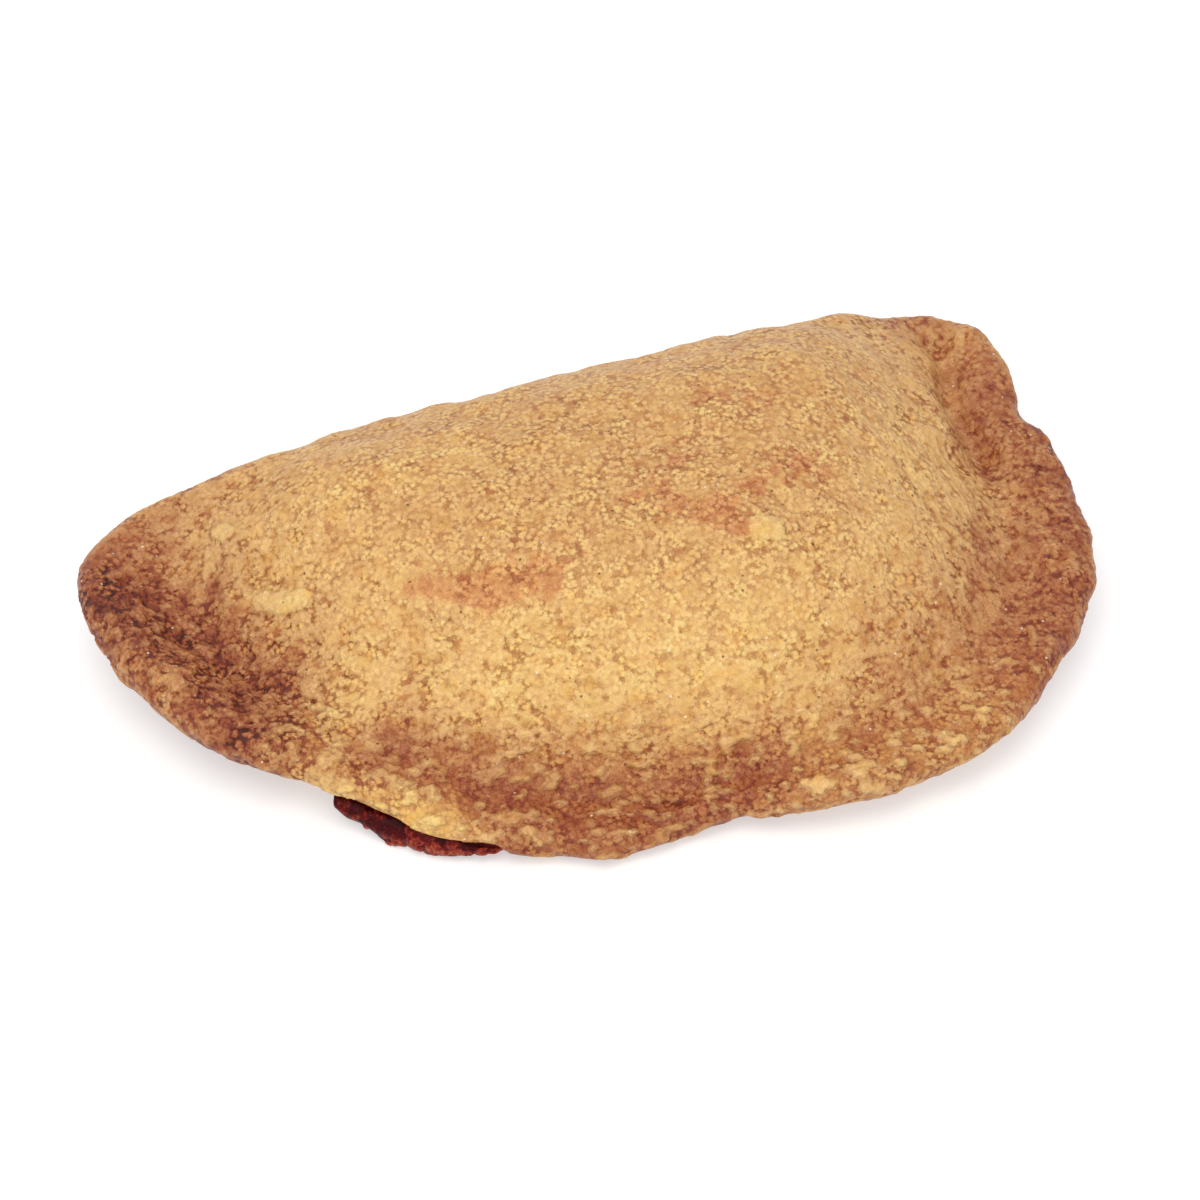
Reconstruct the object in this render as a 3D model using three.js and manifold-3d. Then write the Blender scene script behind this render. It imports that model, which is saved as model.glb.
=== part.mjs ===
// An empanada: a disc of short pastry folded over its filling into a half-moon and baked, with the seam
// burst at the front left, where dark filling has run out under the lifted edge.
// Millimetres, +Z up. +X runs along the fold to its blunt end and +Y from the seam to the fold.
// The origin is the middle of the object's box, on the surface that it rests on.
import * as THREE from "three";
import { ImprovedNoise } from "three/addons/math/ImprovedNoise.js";
import Module from "manifold-3d";

// Driving dimensions of the pastry
const LENGTH = 150;
const DEPTH = 88;
const CROWN_HEIGHT = 30.5;
const CROWN_TILT = 0.1; // share by which the dome is higher at the blunt end and lower at the narrow one
const CROWN_BOW = 0.22; // share by which it is lower at both ends than in the middle
const CREST = new THREE.Vector2(2, 18); // plan centre of the rings that the skins are made of
const EDGE_THICKNESS = 5; // two sheets of dough pressed together
const SEAM_SLOPE = { narrow: 42, blunt: 26 }; // length of the dome's rise from its foot, at either end
const SLOPE_MIX = 0.4; // how far the slope at the middle is from the narrow end's towards the blunt end's
const PILLOW = { foot: 1.2, shoulder: 2 }; // how soft that rise is where it starts and where it ends
const BED = 5; // height that the rim's underside comes to under the dome, whatever it is at the edge
const BED_FROM = [4, 22]; // distances in from the edge over which it does so
const FOLD_SLOPE = 26; // length of the rise from the fold, which is a round roll with no rim
const SEAM_UNDERCUT = 24; // how far in from the edge the underside comes down to the surface
const FOLD_UNDERCUT = 16;

// Round the edge from the blunt end, past the seam's front: place in plan, as shares of half the length
// and half the depth, and height of the edge's underside in mm.
const EDGE = [
  [0.97, 0.79, 11.5], // blunt corner
  [0.98, 0.66, 11],
  [0.98, 0.5, 10.3],
  [0.96, 0.39, 9.6], // notch beside the corner
  [0.99, 0.27, 9.4],
  [0.98, 0.13, 9],
  [0.97, -0.05, 8.5],
  [0.94, -0.3, 7.5],
  [0.88, -0.48, 6.5],
  [0.75, -0.71, 6],
  [0.6, -0.91, 5.5],
  [0.43, -0.97, 5], // front of the seam
  [0.28, -0.99, 4.5],
  [0.16, -0.97, 3.5],
  [0.06, -0.88, 2.2],
  [-0.04, -0.86, 0.5], // lobe that sags to the surface
  [-0.18, -0.88, 0.2],
  [-0.29, -0.81, 0.3],
  [-0.38, -0.76, 0.8],
  [-0.5, -0.65, 2.5], // lip over the burst
  [-0.56, -0.56, 3.8],
  [-0.67, -0.39, 5.5],
  [-0.75, -0.27, 6.5],
  [-0.87, -0.08, 8],
  [-0.96, 0.25, 9.5],
  [-0.99, 0.66, 10.5], // narrow end
  [-0.86, 0.92, 10],
  [-0.56, 0.99, 9], // fold
  [0.03, 0.99, 8],
  [0.56, 0.94, 8.5],
  [0.83, 0.99, 10.5],
];

// Round the foot of the dome, where it rises from the pressed rim, in the same shares.
const FOOT = [
  [0.87, 0.77], // blunt end
  [0.85, 0.48],
  [0.83, 0.18],
  [0.79, -0.16],
  [0.71, -0.43],
  [0.56, -0.66],
  [0.39, -0.77],
  [0.16, -0.81], // front
  [-0.08, -0.73],
  [-0.32, -0.58],
  [-0.55, -0.32],
  [-0.72, 0],
  [-0.83, 0.39],
  [-0.87, 0.7], // narrow end
  [-0.79, 0.92],
  [-0.51, 0.99], // fold
  [0, 0.99],
  [0.53, 0.99],
  [0.8, 0.94],
];
const FOLD_FROM = 0.88; // the foot past this share of half the depth is the fold, which has no rim
const FOLD_TURN = [0.7, 0.95]; // shares of half the depth over which the underside turns from seam to fold

// Creases and ridges drawn along the top: path in plan, half width and height in mm.
const CREASES = [
  { path: [[-20, -26.5], [-4, -30.5], [5, -34]], width: 3, height: -1 }, // the dome's foot at the front
  { path: [[64.5, 33.5], [62.5, 23.5], [61.7, 17], [63.3, 10.5]], width: 3.2, height: -1.6 }, // blunt end
  { path: [[-64, 28], [-62.5, 17], [-56, 4]], width: 6, height: -1.8 }, // hollow inside the narrow end's rim
  { path: [[-72, 27], [-69, 10], [-62, -1]], width: 3.5, height: 0.7 }, // that rim, turned up
];

// Grain of the baked surface: wavelength and height of each layer of lumps
const LUMPS = [
  { wave: 17, height: 0.7 },
  { wave: 6.5, height: 0.55 },
  { wave: 3.6, height: 0.4 },
];
const FLAKE = { wave: 5.5, height: 0.45, from: 0.08, to: 0.22 }; // low terraces left by layers that lifted
const GRAIN_START = new THREE.Vector3(7.3, 2.9, 5.1); // place in the noise that the grain is cut from
const GRAIN_FADE = [0.2, 3]; // heights over which the grain grows from nothing, so that the base is flat

// Filling
const POCKET = 0.7; // its outline inside the pastry, as a share of the way from the crest to the edge
const ROOF = 5; // dough over it at the middle
const FLOOR = 3; // dough under it
const BRIM = 2.4; // height of its rim inside the pastry
const ROOF_FALL = [0.5, 1]; // shares of its own reach over which its top comes down to the rim
const FLOOR_FALL = { inside: [0.5, 1], burst: [0.8, 0.92] }; // and its underside goes up or down to it
const LIP = 2.8; // least dough over it at the burst
const BURST = new THREE.Vector2(-40.5, -25.5); // middle of the burst, on the edge
const BURST_HALF_WIDTH = 17;
const BURST_SHARPNESS = 10; // how abruptly the burst ends at either side
const OOZE = { out: 0.4, height: 4.6, taper: 0.75 }; // how far it runs out, its height, loss at its ends
const CHUNKS = { wave: 3.1, height: 0.9 };
const GAP = 0.35; // between the filling and the pastry

// Fineness of the skins
const CURVE_SAMPLES = 600;
const STEP = 2.2; // length of a facet round the pastry's rings
const TOP_RINGS = 29;
const UNDER_RINGS = 8;
const UNDER_COARSE = 1.5; // facets of an underside are longer by this share
const ROUND_STEPS = 4; // facets over a rounded edge
const FILLING_STEP = 5;
const FILLING_RINGS = 7;
const LEAST_FACETS = 8; // round the smallest ring
const MOUTH_DENSITY = 3; // facets of the filling are this much shorter at the burst

const noise = new ImprovedNoise();
const { smoothstep, lerp, clamp } = THREE.MathUtils;

function closedCurve(rows) {
  const points = rows.map(([x, y, z = 0]) => new THREE.Vector3((x * LENGTH) / 2, (y * DEPTH) / 2, z));
  const curve = new THREE.CatmullRomCurve3(points, true);
  curve.arcLengthDivisions = CURVE_SAMPLES;
  return curve;
}

const edgeCurve = closedCurve(EDGE);
const EDGE_RUN = edgeCurve.getLength();
const footPoints = closedCurve(FOOT).getSpacedPoints(CURVE_SAMPLES);
const isFold = (p) => p.y > (FOLD_FROM * DEPTH) / 2;
const foldPoints = footPoints.filter(isFold);
const seamPoints = footPoints.filter((p) => !isFold(p));

// Distance from a place in plan to a line of points, 0 where it lies outside them. All the points count, near
// ones most: from a straight line this is the plain distance, and between lines it has no ridge.
function insideBy(points, p) {
  const spacing = points[0].distanceTo(points[1]);
  let sum = 0;
  let least = Infinity;
  let foot = p;
  points.forEach((q) => {
    const gap = Math.hypot(q.x - p.x, q.y - p.y);
    sum += spacing / gap ** 3;
    if (gap < least) {
      least = gap;
      foot = q;
    }
  });
  const outward = (foot.x - p.x) * (foot.x - CREST.x) + (foot.y - p.y) * (foot.y - CREST.y);
  return outward > 0 ? Math.sqrt(2 / sum) : 0;
}

// The pastry's section at a place on the edge, u from 0 to 1: a ray from the crest to the edge.
function sectionAt(u) {
  const edge = edgeCurve.getPointAt(u);
  const ray = new THREE.Vector2(edge.x, edge.y).sub(CREST);
  const reach = ray.length();
  const fold = smoothstep(edge.y / (DEPTH / 2), ...FOLD_TURN);
  const aside = clamp(BURST.distanceTo(edge) / BURST_HALF_WIDTH, 0, 1) ** 2;
  return { reach, ray: ray.divideScalar(reach), lift: edge.z, fold, burst: burstShare(edge), aside };
}

function burstShare(p) {
  return Math.exp(-((BURST.distanceTo(p) / BURST_HALF_WIDTH) ** BURST_SHARPNESS));
}

function planPoint(section, inset) {
  return section.ray.clone().multiplyScalar(section.reach - inset).add(CREST);
}

// Share of the dome's height over a place in plan: a soft foot and then a pillow from the seam,
// a quarter round from the fold.
function rise(p) {
  const slope = lerp(SEAM_SLOPE.narrow, SEAM_SLOPE.blunt, clamp(SLOPE_MIX + (p.x + p.y) / LENGTH, 0, 1));
  const up = clamp(insideBy(seamPoints, p) / slope, 0, 1);
  const pillow = 1 - (1 - up ** PILLOW.foot) ** PILLOW.shoulder;
  const roll = Math.sqrt(1 - (1 - clamp(insideBy(foldPoints, p) / FOLD_SLOPE, 0, 1)) ** 2);
  return pillow * roll;
}

function distanceToPath(path, p) {
  const point = new THREE.Vector3(p.x, p.y, 0);
  const corners = path.map(([x, y]) => new THREE.Vector3(x, y, 0));
  const gaps = corners.slice(1).map((end, k) => {
    const foot = new THREE.Line3(corners[k], end).closestPointToPoint(point, true, new THREE.Vector3());
    return foot.distanceTo(point);
  });
  return Math.min(...gaps);
}

function creaseHeight(p) {
  return CREASES.reduce(
    (sum, { path, width, height }) => sum + height * Math.exp(-((distanceToPath(path, p) / width) ** 2)),
    0,
  );
}

function crownHeight(p) {
  const along = p.x / (LENGTH / 2);
  return CROWN_HEIGHT * (1 + CROWN_TILT * along - CROWN_BOW * along ** 2);
}

function topHeight(section, inset) {
  const p = planPoint(section, inset);
  const foot = lerp(section.lift, BED, smoothstep(inset, ...BED_FROM)) + EDGE_THICKNESS;
  return foot + (crownHeight(p) - foot) * rise(p) + creaseHeight(p);
}

// The underside comes down in a long curve from the seam and in a quarter round from the fold.
function underHeight(section, inset) {
  const out = 1 - clamp(inset / lerp(SEAM_UNDERCUT, FOLD_UNDERCUT, section.fold), 0, 1);
  return section.lift * lerp(out ** 2, 1 - Math.sqrt(1 - out ** 2), section.fold);
}

// Joins closed loops of any number of points into one skin, closed by a fan at each end.
function skin(first, loops, last) {
  const points = [first];
  const starts = loops.map((loop) => points.push(...loop) - loop.length);
  const end = points.push(last) - 1;
  const faces = [];
  loops.forEach((loop, k) => {
    const at = (i) => starts[k] + (i % loop.length);
    const next = loops[k + 1];
    if (k === 0) loop.forEach((_, i) => faces.push(0, at(i + 1), at(i)));
    if (!next) {
      loop.forEach((_, i) => faces.push(at(i), at(i + 1), end));
      return;
    }
    const over = (j) => starts[k + 1] + (j % next.length);
    let i = 0;
    let j = 0;
    while (i < loop.length || j < next.length) {
      if (j >= next.length || (i < loop.length && (i + 1) * next.length <= (j + 1) * loop.length)) {
        faces.push(at(i), at(i + 1), over(j));
        i += 1;
      } else {
        faces.push(at(i), over(j + 1), over(j));
        j += 1;
      }
    }
  });
  return new THREE.BufferGeometry().setFromPoints(points).setIndex(faces);
}

// A skin of rings about the crest: out over the top, round the edge and back along the underside.
// Each ring's points come from a function of the section and of the share of the way to the edge.
function ringSkin({ step, rings, underRings, stationAt, topPoint, edgePoint, underPoint, top, under }) {
  const ring = (share, facet, pointAt) => {
    const count = Math.max(LEAST_FACETS, Math.round((share * EDGE_RUN) / facet));
    return Array.from({ length: count }, (_, i) => pointAt(sectionAt(stationAt(i / count)), share));
  };
  const loops = [];
  for (let k = 1; k <= rings; k += 1) {
    loops.push(ring(k / rings, step, topPoint));
  }
  for (let k = 1; k < ROUND_STEPS; k += 1) {
    const turn = Math.PI / 2 - (k * Math.PI) / ROUND_STEPS;
    loops.push(ring(1, step, (s) => edgePoint(s, turn)));
  }
  for (let k = underRings; k >= 1; k -= 1) {
    loops.push(ring(k / underRings, step * UNDER_COARSE, underPoint));
  }
  return skin(new THREE.Vector3(CREST.x, CREST.y, top), loops, new THREE.Vector3(CREST.x, CREST.y, under));
}

// Moves each point along its normal by a height worked out from its place, but not below the floor.
function roughen(geometry, heightAt, floor = 0) {
  geometry.computeVertexNormals();
  const place = geometry.getAttribute("position");
  const normal = geometry.getAttribute("normal");
  const p = new THREE.Vector3();
  const n = new THREE.Vector3();
  for (let i = 0; i < place.count; i += 1) {
    p.fromBufferAttribute(place, i);
    n.fromBufferAttribute(normal, i);
    p.addScaledVector(n, heightAt(p));
    place.setXYZ(i, p.x, p.y, Math.max(p.z, floor));
  }
  geometry.deleteAttribute("normal");
  return geometry;
}

function noiseAt(p, wave) {
  const q = p.clone().divideScalar(wave).add(GRAIN_START);
  return noise.noise(q.x, q.y, q.z);
}

function crustGrain(p) {
  const lumps = LUMPS.reduce((sum, { wave, height }) => sum + height * noiseAt(p, wave), 0);
  const flake = FLAKE.height * smoothstep(noiseAt(p, FLAKE.wave), FLAKE.from, FLAKE.to);
  return (lumps + flake) * smoothstep(p.z, ...GRAIN_FADE);
}

function pastryGeometry() {
  const half = EDGE_THICKNESS / 2;
  const at = (s, inset, z) => {
    const { x, y } = planPoint(s, inset);
    return new THREE.Vector3(x, y, z);
  };
  const insetAt = (s, share) => half + (1 - share) * (s.reach - half);
  const geometry = ringSkin({
    step: STEP,
    rings: TOP_RINGS,
    underRings: UNDER_RINGS,
    stationAt: (u) => u,
    topPoint: (s, share) => at(s, insetAt(s, share), topHeight(s, insetAt(s, share))),
    edgePoint: (s, turn) => at(s, half * (1 - Math.cos(turn)), s.lift + half * (1 + Math.sin(turn))),
    underPoint: (s, share) => at(s, insetAt(s, share), underHeight(s, insetAt(s, share))),
    top: crownHeight(CREST),
    under: 0,
  });
  return roughen(geometry, crustGrain);
}

// Places round the edge for the filling's facets, closer together at the burst.
function mouthStations() {
  const sums = [0];
  for (let i = 0; i < CURVE_SAMPLES; i += 1) {
    sums.push(sums[i] + 1 + (MOUTH_DENSITY - 1) * sectionAt((i + 0.5) / CURVE_SAMPLES).burst);
  }
  return (u) => {
    const want = u * sums[CURVE_SAMPLES];
    const i = Math.max(sums.findIndex((sum) => sum > want) - 1, 0);
    return (i + (want - sums[i]) / (sums[i + 1] - sums[i])) / CURVE_SAMPLES;
  };
}

// The filling: a lens under the dome, with a lobe that runs out through the burst. The lobe lies on the
// surface at its middle and thins out along the lip towards its ends.
function fillingGeometry() {
  const shape = (s) => {
    const reach = lerp(POCKET * s.reach, s.reach + OOZE.out, s.burst);
    const height = lerp(BRIM, OOZE.height * (1 - OOZE.taper * s.aside), s.burst);
    const inset = s.reach - reach + height / 2;
    const crust = topHeight(s, inset);
    const under = lerp((crust + underHeight(s, inset) - BRIM) / 2, s.lift * s.aside, s.burst);
    const top = Math.min(under + height, crust - LIP);
    return { reach, half: (top - under) / 2, middle: (top + under) / 2 };
  };
  const at = (s, out, z) => {
    const { x, y } = planPoint(s, s.reach - out);
    return new THREE.Vector3(x, y, z);
  };
  const topPoint = (s, share) => {
    const { reach, half, middle } = shape(s);
    const out = share * (reach - half);
    const crust = topHeight(s, s.reach - out);
    const top = lerp(crust - ROOF, middle + half, smoothstep(share, ...ROOF_FALL));
    return at(s, out, Math.min(top, crust - LIP));
  };
  const underPoint = (s, share) => {
    const { reach, half, middle } = shape(s);
    const [from, to] = FLOOR_FALL.inside.map((inside, k) => lerp(inside, FLOOR_FALL.burst[k], s.burst));
    const drop = smoothstep(share, from, to);
    return at(s, share * (reach - half), lerp(FLOOR, middle - half, drop));
  };
  const edgePoint = (s, turn) => {
    const { reach, half, middle } = shape(s);
    return at(s, reach - half * (1 - Math.cos(turn)), middle + half * Math.sin(turn));
  };
  return ringSkin({
    step: FILLING_STEP,
    rings: FILLING_RINGS,
    underRings: FILLING_RINGS,
    stationAt: mouthStations(),
    topPoint,
    edgePoint,
    underPoint,
    top: crownHeight(CREST) - ROOF,
    under: FLOOR,
  });
}

function chunkGrain(p) {
  return CHUNKS.height * noiseAt(p, CHUNKS.wave) * burstShare(p);
}

const wasm = await Module();
wasm.setup();

function solid(geometry) {
  const mesh = new wasm.Mesh({
    numProp: 3,
    vertProperties: new Float32Array(geometry.getAttribute("position").array),
    triVerts: new Uint32Array(geometry.index.array),
  });
  return new wasm.Manifold(mesh);
}

function geometryOf(body) {
  const mesh = body.getMesh();
  const geometry = new THREE.BufferGeometry();
  geometry.setAttribute("position", new THREE.BufferAttribute(mesh.vertProperties, 3));
  return geometry.setIndex(new THREE.BufferAttribute(mesh.triVerts, 1));
}

const filling = roughen(fillingGeometry(), chunkGrain);
const pocket = roughen(filling.clone(), () => GAP, -GAP);
const pastry = geometryOf(solid(pastryGeometry()).subtract(solid(pocket).add(solid(filling))));

function addPart(name, geometry, material) {
  const mesh = new THREE.Mesh(geometry, new THREE.MeshStandardMaterial({ metalness: 0, ...material }));
  mesh.name = name;
  group.add(mesh);
}

const group = new THREE.Group();
addPart("pastry", pastry, { color: 0xd9a95c, roughness: 0.75 });
addPart("filling", filling, { color: 0x64231a, roughness: 0.35 });

const box = new THREE.Box3().setFromObject(group);
const middle = box.getCenter(new THREE.Vector3());
group.children.forEach((mesh) => mesh.geometry.translate(-middle.x, -middle.y, -box.min.z));

export default group;
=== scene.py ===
"""Looks of a baked half-moon empanada with a burst seam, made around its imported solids."""

import math

import bpy
import numpy as np
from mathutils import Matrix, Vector
from mathutils.bvhtree import BVHTree


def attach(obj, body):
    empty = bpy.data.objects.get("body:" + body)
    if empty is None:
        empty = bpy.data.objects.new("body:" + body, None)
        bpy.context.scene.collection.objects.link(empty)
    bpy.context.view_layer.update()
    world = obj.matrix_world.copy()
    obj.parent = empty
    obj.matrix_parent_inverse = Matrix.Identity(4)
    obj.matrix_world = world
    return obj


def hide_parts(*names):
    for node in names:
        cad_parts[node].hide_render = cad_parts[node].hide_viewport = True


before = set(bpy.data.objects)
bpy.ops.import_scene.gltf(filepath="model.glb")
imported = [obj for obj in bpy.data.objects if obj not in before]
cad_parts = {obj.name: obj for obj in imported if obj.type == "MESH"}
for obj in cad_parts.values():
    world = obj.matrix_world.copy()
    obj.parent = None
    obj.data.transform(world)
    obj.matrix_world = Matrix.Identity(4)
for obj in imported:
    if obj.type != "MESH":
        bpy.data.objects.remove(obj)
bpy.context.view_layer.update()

MM = 0.001

# Camera, from the photo's view: the place looked at (mm), the angles (degrees), the distance, the lens and
# the sensor (mm)
LOOK_AT = (-2.0, 2.0, 12.0)
CAMERA_AZIMUTH = -20.0
CAMERA_ELEVATION = 44.0
CAMERA_DISTANCE = 700.0
LENS = 142.9
SENSOR = 36.0

# Studio: the sky's colour and strength, the soft light's place and size (m), its power (W) and colour
SKY_COLOUR = (0.96, 1.0, 1.06, 1.0)
SKY_STRENGTH = 0.8
OVERHEAD = {"place": (-0.2, -0.25, 0.8), "size": 0.5, "power": 3.6, "colour": (1.0, 0.97, 0.88)}

# Floor: size (m), how far it lies below the crust (mm), colour, roughness, and the glow that keeps it white
FLOOR_SIZE = 4.0
FLOOR_DROP = 0.02
FLOOR_COLOUR = (0.55, 0.55, 0.55, 1.0)
FLOOR_ROUGHNESS = 0.9
FLOOR_GLOW_COLOUR = (1.0, 1.0, 1.0, 1.0)
FLOOR_GLOW = 0.5

# Mesh sizes, in mm: the distance at which points are merged, the voxels of the crust and the filling, and how
# close to the other solid a face is hidden
MERGE = 0.001
CRUST_VOXEL = 1.02
FILLING_VOXEL = 0.5
POCKET_REACH = 1.0
# The underside, whose normals point further down than this, isn't refined
UNDERSIDE_NORMAL = -0.35
# The share of their faces that hidden parts keep
HIDDEN_SHARE = 0.12
# Behind this line in plan (mm) the filling is under the crust
FILLING_HIDDEN_FROM = -20.0
# Smoothing: how far a point goes to the middle of its neighbours in a turn, and the turns of each mesh
SMOOTHING = 0.5
CRUST_TURNS = 6
FINE_CRUST_TURNS = 2
EASED_TURNS = 38
FILLING_TURNS = 4
# The upward part of a normal from which a face counts in full as the top
TOP_NORMAL = 1 / 3

# Paths in plan, in mm, along which the crust is browned: path, half width, how far it is browned
BROWNED = {
    # The narrow end's darkness is partly browning and partly painted shade of the hollow there.
    "narrow end": (((-68, 26.5), (-63.5, 20), (-58, 12), (-54, 4)), 8.5, 0.63),
    "rim of the narrow end": (((-72, 20), (-68, 9), (-60, -4)), 7.0, 0.44),
    "narrow end, back": (((-72, 27), (-63, 35), (-50, 39)), 5.0, 0.22),
    "rim left of the burst": (((-62, -6), (-49, -18)), 7.0, 0.34),
    "foot of the dome": (((-41, -16), (-27, -23.5), (-10, -29.5), (9, -35.5)), 4.5, 0.50),
    "front lobe": (((-30, -30), (-20, -35), (-4, -39)), 5.5, 0.48),
    "rim right of the lobe": (((8, -41), (34, -42), (54, -33)), 9.0, 0.25),
    "slope above it": (((24, -33), (42, -24), (54, -10)), 7.0, 0.21),
    "blunt end": (((60, -28), (72, -4), (74, 12)), 10.0, 0.53),
    # In the crease of the blunt end the darker colour is partly browning and partly painted shade in the
    # crease.
    "crease of the blunt end": (((62, 9), (63, 20), (63.5, 27)), 3.5, 0.24),
    "blunt end, back": (((62, 40), (70, 33), (70, 22)), 6.0, 0.31),
}
BAKE_ALL_OVER = 0.365

# Where the crust is sheltered and stays paler: path, half width, how much less it is baked
SHELTERED = {
    "front of the dome": (((-20, -12), (0, -20), (16, -22)), 9.0, 0.34),
    "side of the dome": (((-45, 14), (-36, 2)), 8.0, 0.20),
    "blunt side of the dome": (((47, 6), (44, -6), (36, -14)), 7.0, 0.18),
    "roll of the fold": (((-34, 25), (-18, 21.5)), 6.0, 0.14),
    "lip over the burst": (((-52, -16), (-46, -20.5), (-40, -26), (-33, -30.5)), 2.6, 0.30),
}

# Where the browned crust is in lumps with cracks between them: path, half width, strength
CRAGGY = {
    "narrow end": (((-69, 22), (-62, 8), (-52, -8)), 9.0, 1.0),
    "blunt end": (((62, -22), (71, -2), (72, 14)), 6.0, 0.5),
}

# Where wide flakes stand on the rim: path, half width, strength
FLAKED = {
    "front": (((-46, -19), (-20, -32), (8, -38), (34, -40), (54, -32)), 8.0, 1.0),
    "narrow end": (((-70, 20), (-62, -4), (-48, -17)), 7.0, 0.7),
    "blunt end": (((60, -24), (71, -2), (70, 34)), 7.0, 0.2),
}

# Where the dome is redder: path, half width, strength
BLUSHED = {
    "left": (((-29.5, 3), (-25.5, 1), (-21.5, -2)), 2.0, 0.9),
    "middle": (((-19.3, -2.6), (-12.5, -4.4)), 2.9, 1.0),
    "right": (((8, 1), (12.5, -3.5), (16.5, -6.5)), 2.2, 0.8),
    "far right": (((16.5, -2.5), (24, 1), (29, 2), (33, 0)), 3.2, 0.6),
    "top": (((20, 19.6), (29, 15)), 3.5, 0.5),
    "top, left": (((4, 3), (16, 10)), 3.5, 0.5),
}

# Where the larger pale flakes of the dome are: path, half width, strength
PALE = {
    "left": (((-49.5, 15), (-47.4, 12.6), (-45, 11.5)), 1.7, 1.0),
    "right": (((18.6, -8), (20.8, -8.6)), 1.7, 1.0),
    "narrow end": (((-51.6, 29.8), (-51, 28.6)), 1.4, 1.0),
}

# Where the foot of the dome runs out into the rim without a step: path, half width, strength
EASED_FOOT = {"narrow end": (((-67, 24), (-62, 12), (-55, 0), (-46, -10)), 7.0, 1.0)}

# Creases and swells pressed into the top: path, half width, height (mm)
PRESSED = {
    "crease of the blunt end": (((64.8, 34), (64.3, 29.7), (62.3, 23.5), (61.6, 17.5), (63, 11)), 1.6, -0.9),
    "swell beside it": (((59.5, 31), (57.5, 22), (57, 14)), 3.4, 1.2),
    "crease at the foot of the dome": (((-40, -15), (-26, -22.5), (-9, -28.5)), 1.6, -0.5),
}

# Wrinkles at the two ends: their zone, the way they run in plan (degrees), their length, width and
# height (mm), and how much paler a ridge is for each mm of its height
WRINKLES = {
    "narrow end": {
        "zone": {"end": (((-58, 20), (-52, 18)), 6.0, 1.0)},
        "run": 60.0, "length": 9.0, "width": 1.7, "height": 0.7,
    },
    "blunt end": {
        "zone": {"end": (((48, 22), (50, 8), (50, -4)), 7.0, 1.0)},
        "run": -72.0, "length": 9.0, "width": 1.5, "height": 0.5,
    },
}
WRINKLES_PALER = 0.5

# How much brighter than its own colour a level surface is under the studio light
LIT = 1.2

# Colours of the crust from least to most baked, as seen in that light, in sRGB
BAKE_COLOURS = (
    (0.00, (253, 212, 134)),
    (0.15, (242, 192, 120)),
    (0.30, (226, 173, 112)),
    (0.45, (204, 143, 90)),
    (0.60, (178, 107, 66)),
    (0.75, (148, 68, 42)),
    (0.90, (108, 42, 24)),
    (1.00, (70, 24, 16)),
)
# The colour of the pinholes is painted shade inside them, which have no depth in the mesh or the bump.
PAINTED_PINHOLE_SHADE = (92, 48, 22)
# The glint colour is painted highlight: white specks put into the crust's colour where an oily surface would
# catch the light.
PAINTED_GLINT_COLOUR = (255, 240, 212)
# Tints that vary the hue from place to place: the crust's own colour is multiplied by them
BLUSH_TINT = (0.86, 0.62, 0.60, 1.0)
ORANGE_TINT = (1.0, 0.94, 0.84, 1.0)
OLIVE_TINT = (0.95, 0.95, 0.82, 1.0)
GAP_TINT = (1.03, 0.99, 0.80, 1.0)
PALE_TINT = (0.99, 1.03, 1.10, 1.0)

# Several values below are ways of easing: the two values of a pattern between which something changes, and
# what it is at each of them where that isn't 0 and 1

# Flakes: width (mm), how many times longer than wide, how far they reach from their middle and how ragged
# their edge is, in widths, height (mm), how much paler they are and how much darker the gaps
# The darker gaps are partly the browner crust below the flakes and partly painted shade in the recesses
# between them.
FLAKES = {
    "chips": {
        "width": 1.8, "long": 1.6, "reach": 0.42, "ragged": 0.8,
        "height": 0.30, "paler": 0.20, "darker": 0.03,
    },
    "scales": {
        "width": 1.25, "long": 1.2, "reach": 0.56, "ragged": 0.7,
        "height": 0.12, "paler": 0.09, "darker": 0.07,
    },
    "lumps": {
        "width": 1.8, "long": 1.3, "reach": 0.50, "ragged": 1.0,
        "height": 0.34, "paler": 0.17, "darker": 0.06,
    },
}
# From the edge of a flake inwards, in widths: where it rises, shows its colour and is palest, and where
# the gap is
FLAKE_EDGE = {"risen": (-0.05, 0.20), "shown": (0.0, 0.025), "top": (0.16, 0.19), "gap": (-0.04, -0.14)}
# How much paler still the palest part of a flake is, as a share
FLAKE_TOP_PALER = 0.4
# Waves in the ragged edges, in widths, and waves that bend the flakes: width and reach (mm)
RAGGED_WAVE = 0.5
FLAKES_BENT = (1.3, 0.15)
# How wide the clumps are that the flakes stand in, in widths of a flake, and how marked
CLUMP_WIDTH = 3.0
CLUMPED = 1.3
# The way the flakes run in plan, in degrees, along the front and at the blunt end, and where (mm) it changes
FLAKES_RUN = (-18.0, -72.0)
BLUNT_END_X = (48.0, 58.0)
# Scales are uneven from patch to patch, and fewer where there are chips
SCALES_UNEVEN = (-0.2, 0.2, 0.6, 1.2)
SCALES_AMONG_CHIPS = (0.0, 1.0, 1.0, 0.4)
# Heights (mm) between which the scales become fewer, and the share of them on top of the dome
SCALES_THIN_OUT = (16.0, 27.0)
SCALES_ON_TOP = 0.35

# Patterns of patches: how far each is moved so that it differs from the others (mm), width (mm), detail,
# roughness
PATCHES = {
    "patchy": (0.0, 2.2, 5.0, 0.7),
    "mottle": (0.0, 4.0, 4.0, 0.6),
    "uneven": (11.0, 7.0, 2.0, 0.5),
    "warm": (37.0, 3.0, 4.0, 0.6),
    "olive": (59.0, 2.6, 4.0, 0.6),
}
MOTTLE_DARKER = 0.32
PATCHES_TINTED = (0.0, 0.15)

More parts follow.
